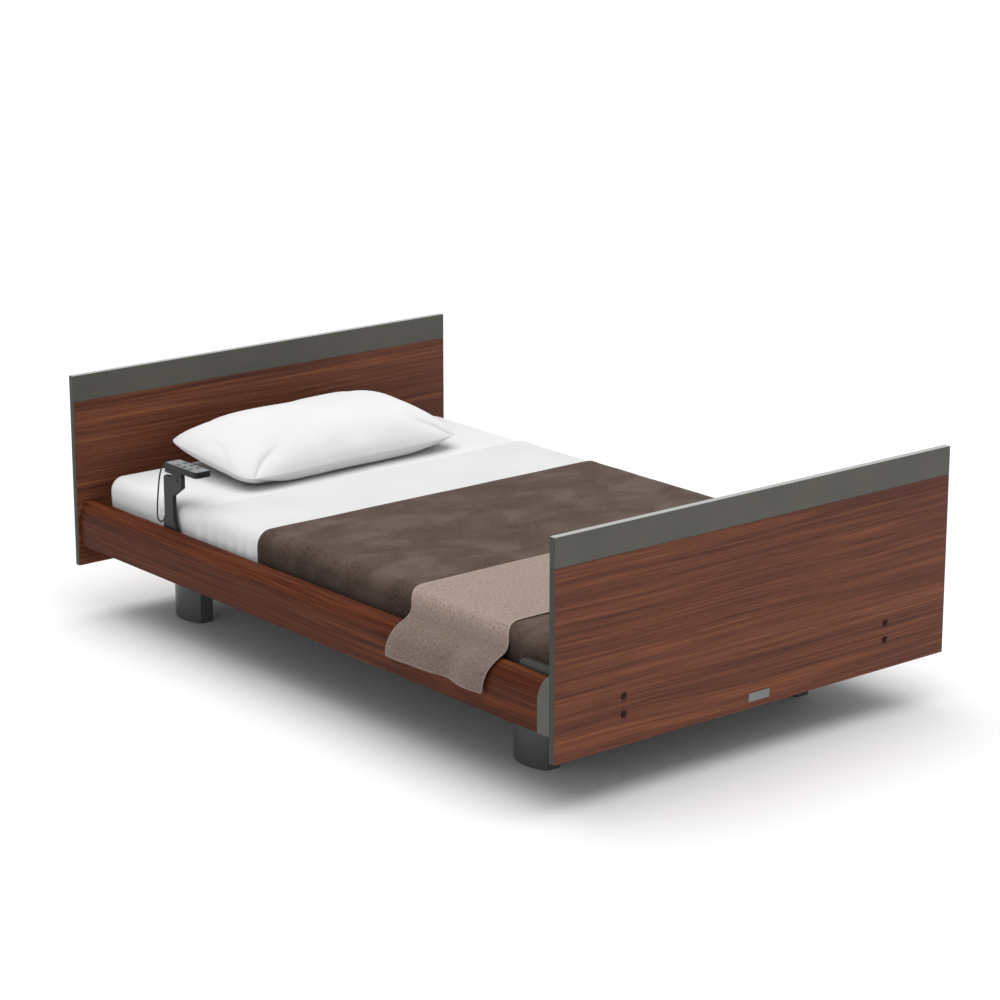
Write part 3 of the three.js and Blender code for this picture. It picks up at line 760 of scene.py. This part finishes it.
def add_mattress(look):
    stations = block_stations([MATTRESS_FOOT + MATTRESS_END_RADIUS, THIGH_SEAM, SEAT_SEAM,
                               MATTRESS_HEAD - MATTRESS_END_RADIUS],
                              0.0135, MATTRESS_END_RADIUS, True, True)
    rows = block_rows(MATTRESS_HALF, MATTRESS_BOTTOM, MATTRESS_TOP,
                      MATTRESS_TOP_RADIUS, MATTRESS_BOTTOM_RADIUS)
    points = block_lattice(rows, stations, 64, mattress_ripple)
    thigh, seat, end = seams(stations)
    for name, span, bodies, zone, replaced in [
        ("mattress_at_back", (seat, end), ("frame", "back"), BACK_ZONE, ("mattress_back", "mattress_seat")),
        ("mattress_at_knee", (thigh, seat), ("frame", "thigh"), KNEE_ZONE, ("mattress_thigh",)),
        ("mattress_at_calf", (0, thigh), ("thigh", "calf"), CALF_ZONE, ("mattress_calf",)),
    ]:
        piece = block_mesh(name, points, span, "lrtbfh", look)
        smooth_shading(piece, 60)
        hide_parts(*replaced)
        bend(piece, *bodies, zone)


# ---- Top sheet and blanket ----


def cover_rows(rise):
    return block_rows(MATTRESS_HALF + rise, COVER_HEM, MATTRESS_TOP + rise,
                      MATTRESS_TOP_RADIUS + rise, 0.0)


def sheet_ripple(points, outward):
    x, y, z = points.T
    side = np.abs(outward[:, 0])
    hang = side * smoothstep(-z, -0.392, -0.33)
    folds = np.sin(y * 2 * math.pi / 0.050 + 2.2 * soft_noise(points, (0, 6, 2), 5))
    lift = hang * (0.0036 + 0.0046 * folds * (0.6 + 0.4 * soft_noise(points, (0, 11, 0), 6)))
    lift += (1 - side) * (0.0005 + 0.0009 * np.maximum(soft_noise(points, (2.2, 12, 1), 7), -0.4))
    # a turned hem along the head edge
    edge = SHEET_HEAD + SHEET_SKEW * (x + MATTRESS_HALF) / (2 * MATTRESS_HALF)
    from_edge = edge - sheared(x, y)
    lift += 0.0018 * smoothstep(-from_edge, -SHEET_HEM, 0.004 - SHEET_HEM)
    under_blanket = 1 - smoothstep(y, BLANKET_HEAD - 0.03, BLANKET_HEAD + 0.02)
    return lift * (1 - under_blanket)


def sheared(x, y):
    """Where a point of the straight sheet lies once its head edge runs a little askew."""
    share = smoothstep(y, BLANKET_HEAD + 0.02, SHEET_HEAD)
    return y + share * SHEET_SKEW * (x + MATTRESS_HALF) / (2 * MATTRESS_HALF)


def add_top_sheet(look):
    stations = block_stations([SHEET_START, SHEET_HEAD - SHEET_HEM, SHEET_HEAD], 0.008, 0.01, False, False)
    points = block_lattice(cover_rows(SHEET_RISE), stations, 72, sheet_ripple)
    points[..., 1] = sheared(points[..., 0], points[..., 1])
    piece = block_mesh("top_sheet_cloth", points, (0, len(stations) - 1), "lrt", look)
    thicken(piece, SHEET_THICKNESS)
    smooth_shading(piece, 50)
    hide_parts("top_sheet")
    bend(piece, "frame", "back", BACK_ZONE)


def blanket_ripple(points, outward):
    y = points[:, 1]
    side = np.abs(outward[:, 0])
    top = np.maximum(outward[:, 2], 0)
    clear_of_stops = smoothstep(y, -0.82, -0.74)
    clear_of_throw = 1 - smoothstep(-y, 0.40, 0.42) * smoothstep(y, -0.80, -0.78)
    lift = top * clear_of_throw * 0.0012 * soft_noise(points, (3, 5, 1), 11)
    lift += top * clear_of_throw * 0.0007 * soft_noise(points, (9, 14, 1), 12)
    lift += side * clear_of_stops * 0.0016 * soft_noise(points, (0, 7, 5), 13)
    # the head edge is turned under once, so it stands a little thicker
    hem = smoothstep(y, BLANKET_HEAD - 0.030, BLANKET_HEAD - 0.018)
    return lift + 0.0012 * hem


def add_blanket(look):
    foot = MATTRESS_FOOT - BLANKET_RISE
    radius = MATTRESS_END_RADIUS + BLANKET_RISE
    stations = block_stations([foot + radius, THIGH_SEAM, SEAT_SEAM, BLANKET_HEAD],
                              0.0115, radius, True, False)
    points = block_lattice(cover_rows(BLANKET_RISE), stations, 96, blanket_ripple)
    thigh, seat, end = seams(stations)
    for name, span, sides, bodies, zone, replaced, length, under in [
        ("blanket_at_back", (seat, end), "lrt", ("frame", "back"), BACK_ZONE, (),
         BLANKET_HEAD - SEAT_SEAM, "mattress_at_back"),
        ("blanket_at_knee", (thigh, seat), "lrt", ("frame", "thigh"), KNEE_ZONE, ("blanket_thigh",),
         SEAT_SEAM - THIGH_SEAM, "mattress_at_knee"),
        ("blanket_at_calf", (0, thigh), "lrtf", ("thigh", "calf"), CALF_ZONE, ("blanket_calf",),
         THIGH_SEAM - MATTRESS_FOOT + COVER_DROP, "mattress_at_calf"),
    ]:
        piece = block_mesh(name, points, span, sides, look)
        thicken(piece, BLANKET_THICKNESS)
        round_hems(piece, 0.0015, (THIGH_SEAM, SEAT_SEAM))
        smooth_shading(piece, 50)
        if replaced:
            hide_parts(*replaced)
        bend(piece, *bodies, zone)


# ---- Throw ----


def throw_path():
    """The right half of the line that the throw follows across the bed, as evenly spaced (x, z)."""
    top = MATTRESS_TOP + THROW_RISE + THROW_THICKNESS / 2
    corner = [(0.0, top), (0.30, top), (0.545, top), (0.566, top - 0.0005), (0.581, top - 0.006),
              (0.5915, top - 0.018), (0.5970, top - 0.038), (0.6020, top - 0.058)]
    crest = [(RAIL_CREST[0] + RAIL_CREST_RADII[0] * math.cos(math.radians(a)),
              RAIL_CREST[1] + RAIL_CREST_RADII[1] * math.sin(math.radians(a)))
             for a in (78, 64, 50, 37, 25, 14, 5)]
    line = np.array(corner + crest + [(0.6545, 0.268), (0.6548, 0.248)])
    reach = np.concatenate([[0], np.cumsum(np.linalg.norm(np.diff(line, axis=0), axis=1))])
    count = round(reach[-1] / 0.0105)
    at = np.linspace(0, reach[-1], count + 1)
    path = np.stack([np.interp(at, reach, line[:, 0]), np.interp(at, reach, line[:, 1])], axis=1)
    for _ in range(3):
        path[1:-1] = (path[:-2] + 2 * path[1:-1] + path[2:]) / 4
    return at, path


def add_throw():
    at, right = throw_path()
    width, length = 2 * at[-1], THROW_HEAD - THROW_FOOT
    across = np.concatenate([-at[:0:-1], at])
    outline = np.concatenate([right[:0:-1] * (-1, 1), right])
    step = np.gradient(outline, axis=0)
    step /= np.linalg.norm(step, axis=1)[:, None]
    normal = np.stack([-step[:, 1], step[:, 0]], axis=1)
    rows = 36
    along = np.linspace(THROW_FOOT, THROW_HEAD, rows + 1)
    hang = smoothstep(np.abs(across), THROW_CREST, at[-1])
    # it swings towards the foot end on its way to the rail, and back below it
    swing = -0.026 * smoothstep(np.abs(across), THROW_EDGE, THROW_CREST + 0.015) + 0.029 * hang
    vertices, flats = [], []
    for i, (x, z) in enumerate(outline):
        for j, y in enumerate(along):
            share = (y - THROW_FOOT) / length
            fold = math.sin(share * 2 * math.pi * 1.35 + (0.9 if x < 0 else 2.4))
            fold += 0.5 * math.sin(share * 2 * math.pi * 2.6 + 0.4 + 3 * x)
            place = Vector((x * 4, y * 9, z * 4))
            lift = hang[i] * (0.0062 + 0.0066 * fold)
            on_rail = smoothstep(abs(across[i]), 0.58, THROW_CREST) * (1 - hang[i])
            lift += on_rail * (0.0014 + 0.0020 * fold)
            lift += (1 - hang[i]) * 0.0008 * (1 + noise.noise(place))
            lean = swing[i] + hang[i] * 0.004 * math.sin(share * 7)
            vertices.append((x + normal[i, 0] * lift, y + lean, z + normal[i, 1] * lift))
            flats.append((across[i], y - (THROW_HEAD + THROW_FOOT) / 2))
    faces = []
    for i in range(len(outline) - 1):
        for j in range(rows):
            a = i * (rows + 1) + j
            b = a + rows + 1
            faces.append((a, b, b + 1, a + 1))
    look = heather_twill((width, length))
    piece = object_from("throw_cloth", vertices, faces, look)
    set_cloth_uv(piece.data, flats)
    subdivide(piece)
    thicken(piece, THROW_THICKNESS)
    round_hems(piece, 0.0012)
    smooth_shading(piece, 50)
    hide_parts("throw_runner")
    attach(piece, "calf")


# ---- Pillow ----

PILLOW_CENTRE = (-0.014, 0.771)
PILLOW_HALF = (0.390, 0.203)  # half its length and width as it lies
PILLOW_TURN = 0.044  # how far it lies turned on the bed, in radians
PILLOW_SEAM = (0.034, 0.084)  # how high the seam lies above the bed, in front and at the headboard
PILLOW_CROWN = 0.084  # how high the top rises above the seam
PILLOW_BELLY = 0.070  # how deep it would hang below the seam, if the bed didn't hold it up
PILLOW_CUT = (0.420, 0.245)  # half of the flat case
PILLOW_FRAMES = 34  # how long the case swells
PILLOW_CAP = 0.0045  # the furthest that the simulation's creases may move a point of the plump form


def bunched(i, count):
    """The i-th of count + 1 places from -1 to 1, closer together towards the ends."""
    bend_over = 0.94 * math.pi
    return math.sin((i / count - 0.5) * bend_over) / math.sin(bend_over / 2)


def pillow_grid(columns=66, rows=42):
    """Two layers of a grid from -1 to 1 that share their rim: (u, v, layer) and the faces.

    The rows lie closer together towards the rim, where the case curves most.
    """
    index, places, faces = {}, [], []
    for layer in (1, -1):
        for i in range(columns + 1):
            for j in range(rows + 1):
                rim = i in (0, columns) or j in (0, rows)
                if rim and layer == -1:
                    index[layer, i, j] = index[1, i, j]
                    continue
                index[layer, i, j] = len(places)
                places.append((bunched(i, columns), bunched(j, rows), 0 if rim else layer))
        for i in range(columns):
            for j in range(rows):
                ring = [index[layer, i, j], index[layer, i + 1, j],
                        index[layer, i + 1, j + 1], index[layer, i, j + 1]]
                faces.append(ring if layer == 1 else ring[::-1])
    return np.array(places), faces


def round_corners(u, v, power):
    """Draws the corners of the square from -1 to 1 in to a rounded outline."""
    longest = np.maximum(np.maximum(np.abs(u), np.abs(v)), 1e-9)
    radius = (np.abs(u) ** power + np.abs(v) ** power) ** (1 / power)
    pull = longest / np.maximum(radius, 1e-9)
    return u * pull, v * pull


def plump_form(places):
    """The pillow's overall shape, about the middle of its level seam."""
    u, v, layer = places.T
    across, along = round_corners(u, v, 8.0)

    def swell(length_power, width_power, fullness):
        return (np.clip(1 - np.abs(u) ** length_power, 0, 1) ** fullness
                * np.clip(1 - np.abs(v) ** width_power, 0, 1) ** fullness)

    height = np.where(layer > 0, PILLOW_CROWN * swell(3.2, 2.3, 0.52),
                      -PILLOW_BELLY * swell(4.0, 2.6, 0.6))
    # the long sides draw in a little where the filling is deepest
    edge = np.maximum(np.abs(u), np.abs(v))
    drawn = 1 - 0.03 * (1 - u ** 2) * edge ** 4
    return np.stack([across * PILLOW_HALF[0], along * PILLOW_HALF[1] * drawn, height], axis=1)


def swollen_case(places, faces, look):
    """A flat case swollen by pressure, which gives the creases of real cloth."""
    u, v, layer = places.T
    across, along = round_corners(u, v, 7.0)
    start = np.stack([across * PILLOW_CUT[0], along * PILLOW_CUT[1],
                      layer * 0.03 * (1 - u ** 4) * (1 - v ** 4)], axis=1)
    piece = object_from("pillow_case", start, faces, look)
    cloth = piece.modifiers.new("cloth", "CLOTH")
    settings = cloth.settings
    settings.quality = 6
    settings.mass = 0.3
    settings.air_damping = 4.0
    settings.tension_stiffness = 20.0
    settings.compression_stiffness = 20.0
    settings.shear_stiffness = 8.0
    settings.bending_stiffness = 2.5
    settings.use_pressure = True
    settings.uniform_pressure_force = 4.0
    settings.effector_weights.gravity = 0.0
    cloth.point_cache.frame_start = 1
    cloth.point_cache.frame_end = PILLOW_FRAMES
    for frame_number in range(1, PILLOW_FRAMES + 1):
        scene.frame_set(frame_number)
    apply_modifiers(piece)
    points = np.empty(len(places) * 3)
    piece.data.vertices.foreach_get("co", points)
    bpy.data.objects.remove(piece)
    scene.frame_set(1)
    return points.reshape(-1, 3)


def spread_out(values, edges, rounds):
    """Each point's value, evened out with its neighbours' that many times."""
    near, far = edges.T
    count = np.bincount(edges.ravel(), minlength=len(values))[:, None]
    for _ in range(rounds):
        total = np.zeros_like(values)
        np.add.at(total, near, values[far])
        np.add.at(total, far, values[near])
        values = (values + total / count) / 2
    return values


def creased(form, case, faces):
    """The plump form with the swollen case's creases, but not its overall shape."""
    corners = np.array(faces)
    edges = np.concatenate([corners[:, [0, 1]], corners[:, [1, 2]]])
    case = case - (case.max(0) + case.min(0)) / 2
    size = (form.max(0) - form.min(0)) / (case.max(0) - case.min(0))
    shift = case * size - form
    shift = spread_out(shift, edges, 9) - spread_out(shift, edges, 120)
    length = np.linalg.norm(shift, axis=1)[:, None]
    return form + shift * np.minimum(1, PILLOW_CAP / np.maximum(length, 1e-9))


def lay_down(points):
    """Leans the pillow up to the headboard and rests it on the bed."""
    x, y, z = points.T
    front, rear = PILLOW_SEAM
    above = z + (front + rear) / 2 + (rear - front) / 2 * y / PILLOW_HALF[1]
    softness = 0.004  # how gently its underside turns to lie flat
    rest = MATTRESS_TOP + 0.0022
    z = rest + softness * np.log1p(np.exp(np.clip(above / softness, -40, 40)))
    along, aside = math.cos(PILLOW_TURN), math.sin(PILLOW_TURN)
    return np.stack([x * along - y * aside + PILLOW_CENTRE[0],
                     x * aside + y * along + PILLOW_CENTRE[1], z], axis=1)


def add_pillow(look):
    places, faces = pillow_grid()
    points = plump_form(places)
    points = creased(points, swollen_case(places, faces, look), faces)
    rim = places[:, 2] == 0
    points[rim] *= (1.009, 1.015, 1.0)  # the seam stands out as a fine ridge
    dents = np.stack([points[:, 0], points[:, 1], points[:, 2] * 0.3], axis=1)
    top = np.clip(places[:, 2], 0, 1) * (1 - np.maximum(np.abs(places[:, 0]), np.abs(places[:, 1])) ** 6)
    points[:, 2] += top * 0.003 * soft_noise(dents, (5.0, 7.5, 5.0), 21)
    piece = object_from("pillow_stuffed", lay_down(points), faces, look)
    set_cloth_uv(piece.data, places[:, :2] * PILLOW_CUT)
    subdivide(piece)
    smooth_shading(piece, 75)
    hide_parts("pillow")
    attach(piece, "back")


# ---- Cord ----


def sleeve(name, points, radii, look):
    """A ribbed strain relief around the cord, turned along the given points."""
    sides = 20
    vertices = []
    for i, (point, radius) in enumerate(zip(points, radii)):
        before = points[max(i - 1, 0)]
        after = points[min(i + 1, len(points) - 1)]
        ahead = (after - before).normalized()
        aside = ahead.cross(Vector((1, 0, 0))).normalized()
        upward = ahead.cross(aside)
        for s in range(sides):
            angle = 2 * math.pi * s / sides
            vertices.append(point + radius * (math.cos(angle) * aside + math.sin(angle) * upward))
    piece = object_from(name, vertices, ring_faces(len(points), sides), look)
    face_outward(piece)
    smooth_shading(piece, 50)
    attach(piece, "back")
    return piece


def add_cord(look):
    route = [Vector(point) / 1000 for point in CORD_ROUTE_MM]
    curve = bpy.data.curves.new("handset_lead", "CURVE")
    curve.dimensions = "3D"
    curve.bevel_depth = CORD_DIAMETER / 2
    curve.bevel_resolution = 5
    curve.resolution_u = 6
    curve.use_fill_caps = True
    line = curve.splines.new("BEZIER")
    line.bezier_points.add(len(route) - 1)
    for point, place in zip(line.bezier_points, route):
        point.co = place
        point.handle_left_type = point.handle_right_type = "AUTO"
    lead = bpy.data.objects.new("handset_lead", curve)
    scene.collection.objects.link(lead)
    curve.materials.append(look)
    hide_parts("handset_cord")
    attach(lead, "back")
    start, end = route[0], route[-1]
    top_points = [start + Vector((0, -0.003 + 0.0015 * i, 0)) for i in range(8)]
    top_radii = [0.0044, 0.0044, 0.0036, 0.0041, 0.0034, 0.0038, 0.0032, 0.0028]
    low_points = [end + Vector((0, 0.0015 * i - 0.0006, 0)) for i in range(4)]
    low_radii = [0.0042, 0.0041, 0.0034, 0.0029]
    pieces = [sleeve("lead_sleeve_handset", top_points, top_radii, look),
              sleeve("lead_sleeve_post", low_points, low_radii, look)]


# ---- Handset details ----


def add_button_marks(look):
    """A small raised arrowhead on each button: towards the head for up, the foot for down."""
    for row in ("back", "knee", "height"):
        for way, sign in (("up", 1), ("down", -1)):
            body = f"button_{row}_{way}"
            low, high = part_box(body)
            centre = (low + high) / 2
            base, top = high.z - 0.0002, high.z + 0.0004
            half, reach = 0.0032, 0.0030
            outline = [(-half, -sign * reach * 0.6), (0.0, sign * reach), (half, -sign * reach * 0.6),
                       (0.0, -sign * reach * 0.1)]
            if sign < 0:
                outline.reverse()
            vertices = [(centre.x + u, centre.y + v, base) for u, v in outline]
            vertices += [(centre.x + u * 0.82, centre.y + v * 0.82, top) for u, v in outline]
            faces = ring_faces(2, len(outline))
            mark = object_from(f"mark_{row}_{way}", vertices, faces, look)
            face_outward(mark)
            smooth_shading(mark, 20)
            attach(mark, body)


# ---- CAD pieces ----

BEVELS = {  # widths in metres, where the usual one doesn't suit
    "handset_body": 0.0005, "handset_post": 0.0008, "nameplate": 0.0004,
    "headboard_panel": 0.0006, "footboard_panel": 0.0006,
    "headboard_band": 0.0008, "footboard_band": 0.0008,
    "headboard_mount_bar": 0.0005, "footboard_mount_bar": 0.0005,
    "mattress_stop_right": 0.0022, "mattress_stop_left": 0.0022,
}
USUAL_BEVEL = 0.0010
BUTTON_BEVEL = 0.0007


def dress_node(name, node, look):
    """Gives a CAD piece its look, smooth faces and finely rounded edges."""
    mesh = node.data
    attribute = mesh.attributes.get("custom_normal")
    if attribute:
        mesh.attributes.remove(attribute)
    mesh.polygons.foreach_set("use_smooth", [True] * len(mesh.polygons))
    for place in node.material_slots:
        place.material = look
    weld = node.modifiers.new("weld", "WELD")
    weld.merge_threshold = 0.00001
    bevel = node.modifiers.new("bevel", "BEVEL")
    bevel.width = BUTTON_BEVEL if name.startswith("button") else BEVELS.get(name, USUAL_BEVEL)
    bevel.segments = 2
    bevel.limit_method = "ANGLE"
    bevel.angle_limit = math.radians(32)
    bevel.harden_normals = True


def dress_cad(looks, soft):
    """looks holds materials by a piece's own name or by its slot's name."""
    slots = {part["node"]: part["material_slot"] for part in frame["record"]["subparts"]}
    for name, node in frame["nodes"].items():
        if name not in soft:
            dress_node(name, node, looks.get(name) or looks[slots[name]])


# ---- Everything ----

add_camera()
add_light()
add_floor()

dark = moulded("dark_plastic_look", ("262728", "2e2f30"), 0.46)
# the bars behind the boards, whose bolt heads show on the outside in dark bronze
bars = brushed("bar_steel", ("8b8d8f", "a4a6a8"), (0.16, 0.24), 0.9, (0.00003, 0.4), "3a2119")
stop_look = moulded("stop_look", ("3a3c3a", "424441"), 0.4, grain_scale=600.0)
looks = {
    "board_walnut": board_walnut(),
    "rail_walnut": rail_walnut(),
    "trim_plastic": board_trim(),
    "mattress_stop_right": stop_look,
    "mattress_stop_left": stop_look,
    "leg_paint": moulded("leg_look", ("58595a", "606162"), 0.36, grain_scale=700.0, depth=0.00012),
    "frame_paint": moulded("frame_look", ("434547", "4e5052"), 0.48, grain_scale=700.0),
    "steel": brushed("steel_look", ("8d8f91", "a5a7a9"), (0.29, 0.42), 0.9),
    "plate_metal": brushed("plate_metal", ("7a7a7c", "8c8c8e"), (0.29, 0.42), 0.7),
    "dark_plastic": dark,
    "grey_plastic": handset_shell(),
    "key_rubber": moulded("key_look", ("6a6c6e", "77797b"), 0.6, grain_scale=1500.0),
    "panel_plastic": moulded("panel_look", ("393b3d", "424446"), 0.6, grain_scale=300.0, depth=0.0002),
    "headboard_mount_bar": bars,
    "footboard_mount_bar": bars,
}
soft_nodes = {"mattress_back", "mattress_seat", "mattress_thigh", "mattress_calf", "top_sheet",
              "blanket_thigh", "blanket_calf", "throw_runner", "pillow", "handset_cord"}
dress_cad(looks, soft_nodes)

add_cord(dark)
add_button_marks(dark)
add_mattress(linen("fitted_sheet_look", ("e2e2e3", "e7e7e7")))
add_top_sheet(linen("top_sheet_look", ("d8d8d9", "dddddd")))
add_blanket(velour())
add_throw()
add_pillow(linen("pillow_look", ("e4e4e5", "e9e9e9")))
